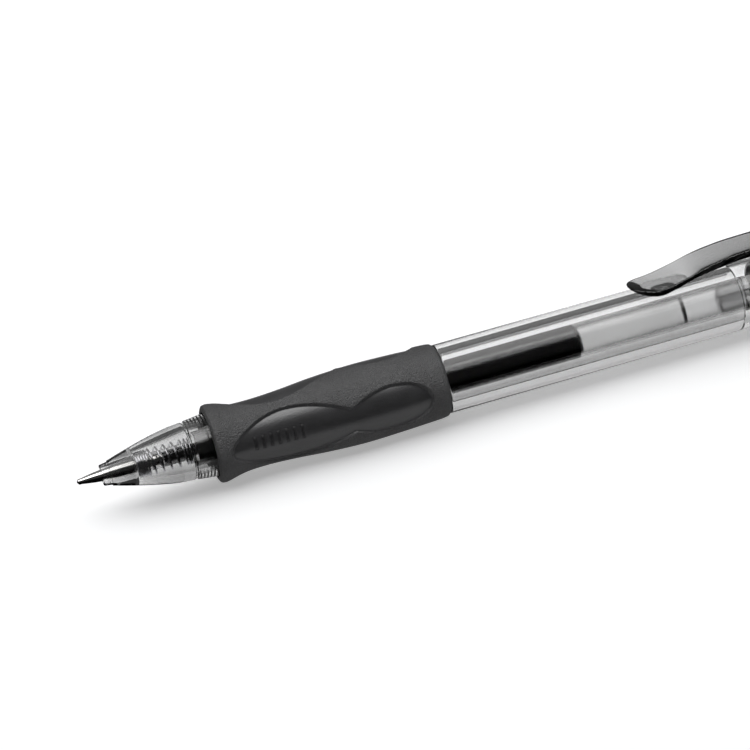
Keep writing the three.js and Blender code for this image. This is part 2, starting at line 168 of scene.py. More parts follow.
class StageSettings(bpy.types.PropertyGroup):
    azimuth: FloatProperty(
        name="Azimuth", description="Camera's turn from the pen's side", subtype="ANGLE",
        default=math.radians(-12.5),
    )
    elevation: FloatProperty(
        name="Elevation", description="Camera's height above the horizon", subtype="ANGLE",
        default=math.radians(25),
    )
    roll: FloatProperty(
        name="Roll", description="Camera's roll, which tips the pen up", subtype="ANGLE",
        default=math.radians(10.38),
    )
    distance: FloatProperty(
        name="Distance", description="Camera's distance from its aim", unit="LENGTH", default=0.4,
    )
    lens: FloatProperty(name="Lens", description="Focal length in millimetres", default=127.5)
    aim: FloatVectorProperty(
        name="Aim", description="Point that the camera looks at", subtype="XYZ", unit="LENGTH",
        default=(-0.02336, -0.00165, 0.01067),
    )
    softbox: FloatProperty(name="Softbox", description="Brightness of the softbox above the pen", default=2.4)
    shadow_lamp: FloatProperty(
        name="Shadow lamp", description="Brightness of the lamp that lights the floor only", default=1.3,
    )
    backdrop: FloatProperty(
        name="Backdrop", description="Brightness of the pale wall behind the pen", default=0.17,
    )
    room: FloatProperty(name="Room", description="Brightness of the room in front of the pen", default=0.04)


GROUPS = {
    "pen_plastic": PlasticSettings,
    "pen_thread": ThreadSettings,
    "pen_grip": GripSettings,
    "pen_spring": SpringSettings,
    "pen_stage": StageSettings,
}


# ---- Outlines ------------------------------------------------------------------------------------
def through(points, steps):
    """Points on a smooth curve through the (station, radius) pairs, with that many steps in each span."""
    ends = [
        [2 * a - b for a, b in zip(points[0], points[1])],
        [2 * a - b for a, b in zip(points[-1], points[-2])],
    ]
    padded = [ends[0], *points, ends[1]]
    curve = []
    for before, start, end, after in zip(padded, padded[1:], padded[2:], padded[3:]):
        for step in range(steps):
            t = step / steps
            weights = (
                -0.5 * t**3 + t**2 - 0.5 * t,
                1.5 * t**3 - 2.5 * t**2 + 1,
                -1.5 * t**3 + 2 * t**2 + 0.5 * t,
                0.5 * t**3 - 0.5 * t**2,
            )
            curve.append(tuple(
                sum(w * p[axis] for w, p in zip(weights, (before, start, end, after))) for axis in (0, 1)
            ))
    curve.append(tuple(points[-1]))
    return curve


def value_at(curve, station):
    """The curve's value at a station, between its points."""
    for (x0, y0), (x1, y1) in zip(curve, curve[1:]):
        if x0 <= station <= x1:
            return y0 + (y1 - y0) * (station - x0) / max(x1 - x0, 1e-9)
    return curve[-1][1] if station > curve[-1][0] else curve[0][1]


def straight(start, end, steps):
    """Evenly spaced points from start to end."""
    return [tuple(a + (b - a) * i / steps for a, b in zip(start, end)) for i in range(steps + 1)]


def rounded(outline, steps=4):
    """The closed outline with each corner that has a third value rounded to that radius."""
    smooth = []
    for i, corner in enumerate(outline):
        fillet = corner[2] if len(corner) > 2 else 0
        here = Vector(corner[:2])
        if not fillet:
            smooth.append(tuple(here))
            continue
        to_last = Vector(outline[i - 1][:2]) - here
        to_next = Vector(outline[(i + 1) % len(outline)][:2]) - here
        half = to_last.angle(to_next) / 2
        reach = min(fillet / math.tan(half), 0.45 * to_last.length, 0.45 * to_next.length)
        start = here + to_last.normalized() * reach
        end = here + to_next.normalized() * reach
        for step in range(steps + 1):
            t = step / steps
            smooth.append(tuple((1 - t) ** 2 * start + 2 * t * (1 - t) * here + t**2 * end))
    return smooth


# ---- Meshes --------------------------------------------------------------------------------------
def new_object(name, bm, sharp_angle=40):
    """A smooth-shaded object made from the bmesh, with its faces outwards and its sharp edges kept."""
    bmesh.ops.remove_doubles(bm, verts=bm.verts, dist=1e-8)
    bmesh.ops.recalc_face_normals(bm, faces=bm.faces)
    mesh = bpy.data.meshes.new(name)
    bm.to_mesh(mesh)
    bm.free()
    mesh.shade_smooth()
    mesh.set_sharp_from_angle(angle=math.radians(sharp_angle))
    made = bpy.data.objects.new(name, mesh)
    bpy.context.scene.collection.objects.link(made)
    return made


def bridge(bm, first, second):
    """Faces between two rings, either of which may be a single point."""
    count = max(len(first), len(second))
    for i in range(count):
        j = (i + 1) % count
        if len(first) == 1:
            bm.faces.new((first[0], second[j], second[i]))
        elif len(second) == 1:
            bm.faces.new((first[i], first[j], second[0]))
        else:
            bm.faces.new((first[i], first[j], second[j], second[i]))


def turned(name, outline, sides=128, relief=None, sharp_angle=40):
    """A body of revolution about the pen. relief(station, angle, radius) gives each point's own radius."""
    bm = bmesh.new()
    rings = []
    for station, radius in outline:
        x = POINT_END + station * MM
        if radius < 1e-6:
            rings.append([bm.verts.new((x, 0, AXIS_Z))])
            continue
        ring = []
        for i in range(sides):
            angle = 2 * math.pi * i / sides
            r = (relief(station, angle, radius) if relief else radius) * MM
            ring.append(bm.verts.new((x, -r * math.cos(angle), AXIS_Z + r * math.sin(angle))))
        rings.append(ring)
    for first, second in zip(rings, rings[1:] + rings[:1]):
        if len(first) > 1 or len(second) > 1:
            bridge(bm, first, second)
    return new_object(name, bm, sharp_angle)


def lofted(name, sections, sharp_angle=50):
    """A closed body through sections that are equal rings of points, with both ends capped."""
    bm = bmesh.new()
    rings = [[bm.verts.new(point) for point in section] for section in sections]
    for first, second in zip(rings, rings[1:]):
        bridge(bm, first, second)
    bm.faces.new(rings[0])
    bm.faces.new(rings[-1])
    return new_object(name, bm, sharp_angle)


def softened(name, node, bevel, segments=2):
    """A copy of a CAD node with smooth shading and its edges rounded."""
    bm = bmesh.new()
    bm.from_mesh(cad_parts[node].data)
    bmesh.ops.remove_doubles(bm, verts=bm.verts, dist=2e-6)
    bmesh.ops.dissolve_limit(bm, angle_limit=math.radians(0.5), verts=bm.verts, edges=bm.edges)
    made = new_object(name, bm, 30)
    modifier = made.modifiers.new("Rounded edges", "BEVEL")
    modifier.width = bevel * MM
    modifier.segments = segments
    modifier.limit_method = "ANGLE"
    modifier.angle_limit = math.radians(35)
    modifier.use_clamp_overlap = True
    modifier.harden_normals = False
    apply_modifiers(made)
    made.data.shade_smooth()
    made.data.set_sharp_from_angle(angle=math.radians(38))
    return made


def apply_modifiers(made):
    """Replaces the object's mesh by its evaluated mesh and removes its modifiers."""
    evaluated = made.evaluated_get(bpy.context.evaluated_depsgraph_get())
    mesh = bpy.data.meshes.new_from_object(evaluated)
    made.modifiers.clear()
    made.data = mesh
    mesh.name = made.name


def settle(made, material, body, slot, *nodes):
    """Gives a piece its finish and puts it on its CAD body in place of those CAD nodes."""
    made.data.materials.clear()
    made.data.materials.append(material)
    if nodes:
        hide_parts(*nodes)
    if body:
        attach(made, body)


# ---- Finishes ------------------------------------------------------------------------------------
def add_node(tree, kind, values=(), **properties):
    """A new node. values maps its inputs to plain values or to the output sockets that feed them."""
    made = tree.nodes.new(kind)
    for key, value in properties.items():
        setattr(made, key, value)
    for key, value in dict(values).items():
        if isinstance(value, bpy.types.NodeSocket):
            tree.links.new(value, made.inputs[key])
        else:
            made.inputs[key].default_value = value
    return made


class Finish:
    """A node material under construction, with its Principled shader at hand."""

    def __init__(self, name, **sockets):
        self.material = bpy.data.materials.new(name)
        self.material.use_nodes = True
        self.tree = self.material.node_tree
        self.shader = self.tree.nodes["Principled BSDF"]
        self.place = self.add("TexCoord").outputs["Object"]
        for socket, value in sockets.items():
            self.shader.inputs[socket.replace("_", " ")].default_value = value

    def add(self, kind, values=(), **properties):
        return add_node(self.tree, "ShaderNode" + kind, values, **properties)

    def maths(self, operation, *values, clamp=False):
        """The output of a maths node on plain values or output sockets."""
        return self.add("Math", dict(enumerate(values)), operation=operation, use_clamp=clamp).outputs[0]

    def feed(self, socket, output):
        self.tree.links.new(output, self.shader.inputs[socket])

    def show(self, shade, other, share):
        """Makes the material's surface a mix of two shaders, with that share of the other."""
        mix = self.add("MixShader", {"Fac": share, 1: shade.outputs[0], 2: other.outputs[0]})
        self.tree.links.new(mix.outputs[0], self.tree.nodes["Material Output"].inputs["Surface"])

    def noise(self, size, stretch=(1, 1, 1), detail=3.0):
        """Noise with features of about that many millimetres, divided by the stretch along each axis."""
        scaled = self.add("Mapping", {"Vector": self.place, "Scale": tuple(1 / s for s in stretch)})
        values = {"Vector": scaled.outputs[0], "Scale": 1 / (size * MM), "Detail": detail}
        return self.add("TexNoise", values).outputs["Fac"]

    def spread(self, value, low, high, start=0.3, end=0.7):
        """The value, from start to end, mapped to low to high."""
        limits = {"Value": value, "From Min": start, "From Max": end, "To Min": low, "To Max": high}
        return self.add("MapRange", limits).outputs["Result"]

    def blend_colours(self, value, first, second):
        """A colour between the first and the second that follows the value."""
        ramp = self.add("ValToRGB", {"Fac": value})
        for stop, colour, position in zip(ramp.color_ramp.elements, (first, second), (0.3, 0.7)):
            stop.color = (*colour, 1)
            stop.position = position
        return ramp.outputs["Color"]

    def emboss(self, height, depth):
        """Bump of that depth in millimetres."""
        bump = self.add("Bump", {"Height": height, "Strength": 1.0, "Distance": depth * MM})
        self.feed("Normal", bump.outputs["Normal"])

    def let_lamps_through(self, share):
        """That share of the light crosses the clear plastic in straight lines when it casts a shadow."""
        clear = self.add("BsdfTransparent", {"Color": (share, share, share, 1)})
        self.show(self.shader, clear, self.add("LightPath").outputs["Is Shadow Ray"])

    def take_off(self, per_mm):
        """Greys the light by its way through the plastic."""
        volume = self.add("VolumeAbsorption", {"Color": (0, 0, 0, 1), "Density": per_mm / MM})
        self.tree.links.new(volume.outputs[0], self.tree.nodes["Material Output"].inputs["Volume"])


def clear_plastic(name, grey, shadow_share):
    """Polished clear plastic with the faint long waves of a moulded wall."""
    index = bpy.context.scene.pen_plastic.index
    made = Finish(name, Base_Color=(1, 1, 1, 1), Transmission_Weight=1.0, IOR=index)
    made.feed("Roughness", made.spread(made.noise(1.8, (4, 1, 1)), 0.0, 0.025))
    made.emboss(made.noise(6, (6, 1, 1), 1.0), 0.003)
    made.let_lamps_through(shadow_share)
    made.take_off(grey)
    return made.material


def milky_plastic(name, grey):
    """The refill's plastic: polished outside and cloudy on the bore's wall."""
    made = Finish(name, Base_Color=(1, 1, 1, 1), Transmission_Weight=1.0, IOR=1.49)
    across = made.add("Mapping", {"Vector": made.place, "Location": (0, 0, -AXIS_Z), "Scale": (0, 1, 1)})
    radius = made.add("VectorMath", {0: across.outputs[0]}, operation="LENGTH").outputs["Value"]
    clouds = made.spread(made.noise(1.2, (5, 1, 1)), 0.3, 0.42)
    made.feed("Roughness", made.spread(radius, clouds, 0.02, (TUBE_BORE_R + 0.1) * MM, (TUBE_R - 0.1) * MM))
    made.emboss(made.noise(5, (8, 1, 1), 1.0), 0.002)
    made.let_lamps_through(0.6)
    made.take_off(grey)
    return made.material


def grip_rubber():
    """Moulded rubber: finely grained, and smoother and glossier in the finger recesses."""
    settings = bpy.context.scene.pen_grip
    tone = Vector(settings.tone)
    made = Finish("grip rubber", Specular_IOR_Level=1.0, IOR=1.62)
    inside = made.add("Attribute", attribute_name="recess").outputs["Fac"]
    grain = made.noise(settings.grain, detail=2.0)
    made.feed("Base Color", made.blend_colours(made.noise(3.0), tuple(tone * 0.85), tuple(tone * 1.2)))
    made.feed("Roughness", made.spread(inside, made.spread(grain, 0.5, 0.68), 0.33, 0, 1))
    made.emboss(made.maths("MULTIPLY", grain, made.spread(inside, 1.0, 0.12, 0, 1)), 0.24)
    return made.material


def moulded_plastic(name, tone):
    """Opaque engineering plastic with a fine texture."""
    tone = Vector(tone)
    made = Finish(name)
    made.feed("Base Color", made.blend_colours(made.noise(2.0), tuple(tone * 0.9), tuple(tone * 1.12)))
    made.feed("Roughness", made.spread(made.noise(0.4), 0.25, 0.38))
    made.emboss(made.noise(0.12), 0.004)
    return made.material


def turned_metal(name, tone, roughness, ring_size, ring_depth):
    """Metal with the fine rings that turning leaves round the pen's axis."""
    tone = Vector(tone)
    made = Finish(name, Metallic=1.0)
    rings = made.noise(ring_size, (1, 1000, 1000), 2.0)
    made.feed("Base Color", made.blend_colours(made.noise(0.8), tuple(tone * 0.95), tuple(tone)))
    made.feed("Roughness", made.spread(rings, *roughness))
    made.emboss(rings, ring_depth)
    return made.material


def gel_ink():
    """Black gel, glossy where it wets the tube."""
    made = Finish("black gel ink", IOR=1.4)
    black, sheen = (0.002, 0.002, 0.0025), (0.004, 0.004, 0.005)
    made.feed("Base Color", made.blend_colours(made.noise(2.5), black, sheen))
    made.feed("Roughness", made.spread(made.noise(1.0), 0.12, 0.2))
    return made.material


def follower_gel():
    """Clear grease, faintly warm, with small clouds in it."""
    made = Finish("follower gel", Transmission_Weight=1.0, IOR=1.44)
    made.feed("Base Color", made.blend_colours(made.noise(1.5), (0.95, 0.95, 0.945), (0.98, 0.98, 0.975)))
    made.feed("Roughness", made.spread(made.noise(0.7), 0.02, 0.08))
    made.let_lamps_through(0.8)
    return made.material


def shared(make, *values):
    """The material that make returns, made once for each set of values."""
    key = (make.__name__, *(str(v) for v in values))
    if key not in shared.made:
        shared.made[key] = make(*values)
    return shared.made[key]


shared.made = {}


def smoke_plastic():
    return shared(clear_plastic, "smoke plastic", bpy.context.scene.pen_plastic.clip_grey, 0.5)


# ---- Nose cone and barrel ------------------------------------------------------------------------
THREAD_FRONT = 17.15
SPIGOT_R = 3.98
SPIGOT_BORE_R = 3.35
GRIP_SEAT_R = 4.45
GRIP_KEY_R = 4.7
GRIP_KEYS = (40, 51)
GRIP_GAP = 0.05
BORE_R = 3.8


def thread_relief(front, rear, surface_r):
    """A relief that raises a helical thread on the surface of that radius between two stations."""
    settings = bpy.context.scene.pen_thread

    def relief(station, angle, radius):
        if abs(radius - surface_r) > 1e-4 or not front < station < rear:
            return radius
        fade = min(1, (station - front) / 0.4, (rear - station) / 0.4)
        turn = (station / settings.pitch - angle / (2 * math.pi)) % 1
        return radius + settings.depth * fade * (1 - abs(2 * turn - 1))

    return relief


def nose_cone():
    """The clear smoke cone, with a rim, a seat for the spring and a threaded skirt."""
    front, rear = front_of("nose_cone"), rear_of("nose_cone")
    thread_r = SPIGOT_R + 0.06
    flank = through([(5.06, 1.93), (7.1, 2.52), (10.7, 3.44), (14.3, 4.17), (17.05, 4.45)], 10)
    outline = rounded([
        (front, 1.22, 0.06),
        (front, 1.6, 0.14),
        (5.0, 1.78, 0.04),
        *flank,
        (17.22, 4.34, 0.03),
        (17.5, 4.34, 0.03),
        (17.62, 4.53, 0.04),
        (21.4, 4.96),
        (rear, 5.0, 0.05),
        (rear, thread_r),
        *straight((rear - 0.02, thread_r), (THREAD_FRONT + 0.02, thread_r), 96),
        (THREAD_FRONT, thread_r),
        (THREAD_FRONT, 3.31, 0.08),
        (8.9, 2.25, 0.12),
        (8.9, 1.22, 0.08),
    ])
    relief = thread_relief(THREAD_FRONT + 0.1, rear - 0.1, thread_r)
    return turned("nose_cone_shell", outline, 160, relief)


def key_rings(foot, top, gap, fillet):
    """The rings that key the grip to the barrel, raised by a gap, with those half lengths at foot and top."""
    seat, crest = GRIP_SEAT_R + gap, GRIP_KEY_R + gap
    sides = ((-foot, seat), (-top, crest), (top, crest), (foot, seat))
    return [(key + step, radius, fillet) for key in GRIP_KEYS for step, radius in sides]


def barrel():
    """The clear barrel, with a threaded spigot, rings that key the grip and a counterbored rear end."""
    front, rear = front_of("barrel"), rear_of("barrel")
    outer = radius_of("barrel")
    shoulder = rear_of("grip") + 0.05
    thread_end = rear_of("nose_cone") + 0.1
    outline = rounded([
        (front, SPIGOT_BORE_R, 0.1),
        (front, SPIGOT_R - 0.1),
        (front + 0.1, SPIGOT_R),
        *straight((front + 0.15, SPIGOT_R), (thread_end - 0.05, SPIGOT_R), 96),
        (thread_end, SPIGOT_R),
        (thread_end, GRIP_SEAT_R, 0.05),
        *key_rings(0.5, 0.25, 0, 0.1),
        (shoulder, GRIP_SEAT_R, 0.05),
        (shoulder, outer, 0.25),
        (rear, outer, 0.15),
        (rear, 4.5, 0.1),
        (106, 4.5, 0.05),
        (106, BORE_R, 0.1),
        (28, BORE_R, 0.5),
        (24, SPIGOT_BORE_R, 0.5),
    ])
    relief = thread_relief(front + 0.3, thread_end - 0.2, SPIGOT_R)
    return turned("barrel_tube", outline, 160, relief)


class PEN_OT_nose_cone(bpy.types.Operator):
    """Make the smoke clear nose cone"""

    bl_idname = "pen.nose_cone"
    bl_label = "Nose cone"

    def execute(self, context):
        plastic = shared(clear_plastic, "nose plastic", context.scene.pen_plastic.nose_grey, 0.45)
        settle(nose_cone(), plastic, "barrel_unit", "smoke_plastic", "nose_cone")
        return {"FINISHED"}


class PEN_OT_barrel(bpy.types.Operator):
    """Make the clear barrel"""

    bl_idname = "pen.barrel"
    bl_label = "Barrel"

    def execute(self, context):
        plastic = shared(clear_plastic, "clear plastic", context.scene.pen_plastic.barrel_grey, 0.55)
        settle(barrel(), plastic, "barrel_unit", "clear_plastic", "barrel")
        return {"FINISHED"}


# ---- Grip ----------------------------------------------------------------------------------------
RECESS_ANGLES = tuple(math.radians(1 + 120 * i) for i in range(3))  # from -Y towards +Z
RECESS_FRONT, RECESS_REAR = 22.7, 54.6
RECESS_HALF_ANGLES = (  # degrees from a recess's middle to its edge, at each station
    *((22.7, 0), (23.2, 12)),
    *through(
        [(24.4, 22.5), (26, 33.4), (28.4, 45.5), (31, 51.5), (33.2, 50.5), (35.2, 46.5), (38.2, 36.5),
         (41.9, 20)],
        8,
    ),
    *through([(41.9, 20), (44.2, 29), (46.1, 34.5), (48.3, 37.5), (50.6, 35.3), (52.2, 30), (53.6, 20.5)], 8),
    *((54.3, 11), (54.6, 0)),
)
RECESS_RIM = 0.34  # width of the steep rim
PAD_SLOPE = 4  # width of the slope from the rim to the level middle
GROOVE_FRONT = 26.7
GROOVE_PITCH = 1.22
GROOVE_HALF_WIDTH = 0.3
GROOVE_MIDDLE = math.radians(5)  # from the middle of the recess
GROOVE_HALF_ANGLE = math.radians(12)


def off_recess(angle):
    """The angle from the middle of the nearest finger recess."""
    return min(((angle - middle + math.pi) % (2 * math.pi) - math.pi for middle in RECESS_ANGLES), key=abs)


def inside_recess(station, angle, radius):
    """About how many millimetres the point is inside a finger recess, or 0 outside it."""
    reach = math.radians(value_at(RECESS_HALF_ANGLES, station))
    before, after = (value_at(RECESS_HALF_ANGLES, station + step) for step in (-0.4, 0.4))
    slope = math.radians(after - before) / 0.8
    return max(0, (reach - abs(off_recess(angle))) * radius / math.hypot(1, slope * radius))


def groove_share(station, angle, count):
    """1 in the middle of a short groove and 0 outside the grooves."""
    nearest = min(max(round((station - GROOVE_FRONT) / GROOVE_PITCH), 0), count - 1)
    along = (station - GROOVE_FRONT - nearest * GROOVE_PITCH) / GROOVE_HALF_WIDTH
    across = (off_recess(angle) - GROOVE_MIDDLE) / GROOVE_HALF_ANGLE
    return max(0, 1 - along**2) * max(0, 1 - across**4)


def spaced(curve, step_at):
    """The curve cut into steps along the pen, each step_at(station) long."""
    stations = [curve[0][0]]
    while stations[-1] + step_at(stations[-1]) < curve[-1][0]:
        stations.append(stations[-1] + step_at(stations[-1]))
    return [(station, value_at(curve, station)) for station in stations] + [curve[-1]]


def grip():
    """The rubber sleeve, with a waist, a rolled front lip and three grooved finger recesses."""
    settings = bpy.context.scene.pen_grip
    front, rear = front_of("grip"), rear_of("grip")
    seat, collar = GRIP_SEAT_R + GRIP_GAP, 5.05
    body = through(
        [(21.1, 6.03), (21.6, 6.07), (22.4, 5.93), (24, 5.57), (25.8, 5.35), (29, 5.32), (33, 5.53),
         (38, 5.94), (43.8, 6.2), (50, 6.07), (55.2, 5.87), (56.4, 5.8)],
        16,
    )
    outline = rounded([
        (front, collar, 0.1),
        (front, 5.45, 0.2),
        (20.85, 5.93, 0.2),
        *spaced(body, lambda station: 0.1 if 26 < station < 35 else 0.17),
        (57.0, 5.7, 0.3),
        (rear, 5.4, 0.2),
        (rear, seat),
        *reversed(key_rings(0.6, 0.35, GRIP_GAP, 0)),
        (22.7, seat),
        (22.7, collar),
    ], 6)

    def relief(station, angle, radius):
        outside_faces = radius > collar + 0.15 and RECESS_FRONT < station < RECESS_REAR
        inside = inside_recess(station, angle, radius) if outside_faces else 0
        if not inside:
            return radius
        rim = 1 - (1 - min(inside / RECESS_RIM, 1)) ** 2
        pillow = 1 - (1 - min(inside / PAD_SLOPE, 1)) ** 2
        groove = groove_share(station, angle, settings.groove_count) * settings.groove_depth
        return radius - settings.recess_depth * rim + settings.pillow_height * pillow - groove

    made = turned("rubber_grip", outline, 288, relief, 60)
    mark_recesses(made)
    return made


def mark_recesses(made):
    """Stores how far each point is inside a finger recess, for the rubber's finish."""
    shares = []
    for vertex in made.data.vertices:
        x, y, z = vertex.co
        radius = math.hypot(y, z - AXIS_Z) / MM
        inside = inside_recess((x - POINT_END) / MM, math.atan2(z - AXIS_Z, -y), radius)
        shares.append(min(inside / RECESS_RIM, 1))
    attribute = made.data.attributes.new("recess", "FLOAT", "POINT")
    attribute.data.foreach_set("value", shares)


class PEN_OT_grip(bpy.types.Operator):
    """Make the contoured rubber grip"""

    bl_idname = "pen.grip"
    bl_label = "Grip"

    def execute(self, context):
        settle(grip(), shared(grip_rubber), "barrel_unit", "grip_rubber", "grip")
        return {"FINISHED"}


# ---- Clip ----------------------------------------------------------------------------------------
CLIP_TIP = 89.2
CLIP_ROOT = 128.2
CLIP_ROOT_HEIGHT = 8.05
CLIP_ROOT_R = 0.65
CLIP_WIDEST = 94.2
CLIP_HALF_WIDTHS = (3.8, 2.9)  # behind the tip and at the root
CLIP_ARCH = 0.45  # how far the arm's edges bend down round the barrel at its tip
CLIP_ARCH_LENGTH = 12


def clip_arm():
    """The sprung arm: a rounded bar with a spoon tip that touches the barrel."""
    under = through([
        (CLIP_TIP, 6.25), (90.2, 5.87), (91.6, 5.58), (93.4, 5.5), (96.3, 5.95), (100.5, 6.75), (110, 7.3),
        (CLIP_ROOT, 7.4),
    ], 12)
    top = through([
        (CLIP_TIP, 6.65), (90.6, 6.48), (93.4, 6.4), (97.3, 7.0), (103, 8.1), (112, 8.6), (CLIP_ROOT, 8.7),
    ], 12)
    spoon_end = CLIP_TIP + 10
    stations = [CLIP_TIP + (spoon_end - CLIP_TIP) * (i / 40) ** 2 for i in range(41)]
    stations += [spoon_end + (CLIP_ROOT - spoon_end) * i / 58 for i in range(1, 59)]
    stations += [CLIP_ROOT + CLIP_ROOT_R * math.sin(math.radians(a)) for a in range(10, 90, 10)]
    sections = []
    for station in stations:
        low, high = value_at(under, station), value_at(top, station)
        middle, thick = (low + high) / 2, (high - low) / 2
        past_root = max(0, station - CLIP_ROOT)
        if past_root:
            middle, thick = CLIP_ROOT_HEIGHT, math.sqrt(max(CLIP_ROOT_R**2 - past_root**2, 1e-6))
        along = (station - CLIP_WIDEST) / (CLIP_ROOT - CLIP_WIDEST)
        if station < CLIP_WIDEST:
            spoon = math.sqrt(max(1 - ((CLIP_WIDEST - station) / (CLIP_WIDEST - CLIP_TIP)) ** 2, 0.0004))
            width = CLIP_HALF_WIDTHS[0] * spoon
            thick *= min(1, 0.25 + 2.2 * spoon)
        else:
            width = CLIP_HALF_WIDTHS[0] + (CLIP_HALF_WIDTHS[1] - CLIP_HALF_WIDTHS[0]) * min(along, 1)
        arch = CLIP_ARCH * max(0, 1 - max(0, station - CLIP_WIDEST) / CLIP_ARCH_LENGTH)
        sections.append(bar_section(station, middle, thick, width, arch))
    return lofted("pocket_clip", sections)


def bar_section(station, middle, thick, width, arch, corner=0.32, steps=6):
    """A ring of points: a rectangle with rounded corners, whose edges the arch bends down."""
    corner = min(corner, 0.9 * thick, 0.9 * width)
    ring = []
    for quarter, (side, up) in enumerate(((1, 1), (-1, 1), (-1, -1), (1, -1))):
        for step in range(steps + 1):
            angle = math.radians(90 * (quarter + step / steps))
            y = side * (width - corner) + corner * math.cos(angle)
            z = middle + up * (thick - corner) + corner * math.sin(angle)
            bend = arch * (y / CLIP_HALF_WIDTHS[0]) ** 2
            ring.append((POINT_END + station * MM, y * MM, AXIS_Z + (z - bend) * MM))
    return ring


class PEN_OT_clip(bpy.types.Operator):
    """Make the clip's sprung arm and the collar that holds it"""

    bl_idname = "pen.clip"
    bl_label = "Clip"

    def execute(self, context):
        plastic = smoke_plastic()
        settle(clip_arm(), plastic, "clip", "smoke_plastic", "clip_arm")
        collar = softened("clip_saddle", "clip_collar", 0.12, 3)
        settle(collar, plastic, "barrel_unit", "smoke_plastic", "clip_collar")
        return {"FINISHED"}


# ---- Click mechanism -----------------------------------------------------------------------------
class PEN_OT_click_mechanism(bpy.types.Operator):
    """Make the guide sleeve, the ratchet rotor and the push button"""

    bl_idname = "pen.click_mechanism"
    bl_label = "Click mechanism"

    def execute(self, context):
        dark = shared(moulded_plastic, "guide plastic", (0.035, 0.036, 0.04))
        pale = shared(moulded_plastic, "rotor plastic", (0.55, 0.55, 0.54))
        sleeve = softened("cam_sleeve", "guide_sleeve", 0.07)
        settle(sleeve, dark, "barrel_unit", "guide_plastic", "guide_sleeve")
        rotor = softened("cam_rotor", "ratchet_rotor", 0.06)
        settle(rotor, pale, "rotor", "guide_plastic", "ratchet_rotor")
        button = softened("click_button", "push_button", 0.07)
        settle(button, smoke_plastic(), "button", "smoke_plastic", "push_button")
        return {"FINISHED"}


# ---- Refill --------------------------------------------------------------------------------------
HOLDER_FRONT = 10.6
HOLDER_REAR = 23.0
TUBE_FRONT = 18.45
TUBE_R = 2.68
TUBE_BORE_R = 2.0
CHANNEL_R = 0.62
WET = 0.015  # how far a liquid reaches into the wall that it wets


def tip_holder():
    """The clear plastic stem between the tube and the metal point."""
    return turned("point_holder", rounded([
        (HOLDER_FRONT, 1.0, 0.05),
        (HOLDER_FRONT, 1.35, 0.2),
        (17.3, 1.35, 0.15),
        (17.3, 2.4, 0.1),
        (17.75, 2.66, 0.15),
        (18.4, 2.66, 0.05),
        (18.4, 1.95),
        (HOLDER_REAR, 1.95, 0.2),
        (HOLDER_REAR, CHANNEL_R, 0.05),
        (13.25, CHANNEL_R),
        (13.25, 1.0),
    ]), 96)


def refill_tube():
    return turned("ink_tube", rounded([
        (TUBE_FRONT, TUBE_BORE_R, 0.05),
        (TUBE_FRONT, TUBE_R, 0.1),
        (107, TUBE_R, 0.1),
        (107, TUBE_BORE_R, 0.05),
    ]), 128)


def end_plug():
    """The vented plug in the tube's rear end."""
    return turned("tube_end_plug", rounded([
        (103, 0.4, 0.1),
        (103, 1.95, 0.3),
        (107.05, 1.95),
        (107.05, TUBE_R, 0.1),
        (108.2, TUBE_R, 0.25),
        (108.2, 0.4, 0.1),
    ]), 96)


def dome(front, radius, depth, steps=14):
    """Points of a domed end, from its rim to its middle."""
    points = []
    for i in range(steps + 1):
        angle = math.pi / 2 * i / steps
        points.append((front + depth * math.sin(angle), radius * math.cos(angle) ** 0.7 if i < steps else 0))
    return points


def ink_column():
    """The ink, from the point's bore through the holder to its domed rear end."""
    end = rear_of("ink_column")
    wetted = TUBE_BORE_R + WET
    return turned("gel_ink", [
        (13.4, 0),
        (13.4, CHANNEL_R + WET),
        (HOLDER_REAR + 0.05, CHANNEL_R + WET),
        (HOLDER_REAR + 0.05, wetted),
        *dome(end - 0.8, wetted, 0.8),
    ], 128)


def ink_follower():
    """The plug of grease behind the ink, hollowed by the ink's dome."""
    end = rear_of("ink_column")
    rear = rear_of("ink_follower")
    r = TUBE_BORE_R - 0.006
    return turned("grease_follower", [
        *reversed(dome(end - 0.75, r, 0.8)),
        (rear, r),
        (rear - 0.25, 0.8 * r),
        (rear - 0.5, 0.45 * r),
        (rear - 0.6, 0),
    ], 128)


class PEN_OT_refill(bpy.types.Operator):
    """Make the refill's tube, point holder and end plug"""

    bl_idname = "pen.refill"
    bl_label = "Refill"

    def execute(self, context):
        grey = context.scene.pen_plastic.refill_grey
        milky = shared(milky_plastic, "refill plastic", grey)
        clear = shared(clear_plastic, "holder plastic", grey, 0.7)
        settle(refill_tube(), milky, "refill", "tube_plastic", "refill_tube")
        settle(tip_holder(), clear, "refill", "tube_plastic", "tip_holder")
        settle(end_plug(), milky, "refill", "tube_plastic", "refill_end_plug")
        return {"FINISHED"}


class PEN_OT_ink(bpy.types.Operator):
    """Make the ink and the grease that follows it"""

    bl_idname = "pen.ink"
    bl_label = "Ink"

    def execute(self, context):
        settle(ink_column(), shared(gel_ink), "refill", "black_ink", "ink_column")
        settle(ink_follower(), shared(follower_gel), "refill", "follower_gel", "ink_follower")
        return {"FINISHED"}


# ---- Writing point -------------------------------------------------------------------------------
BALL_R = 0.35
POINT_SHANK_R = 1.1


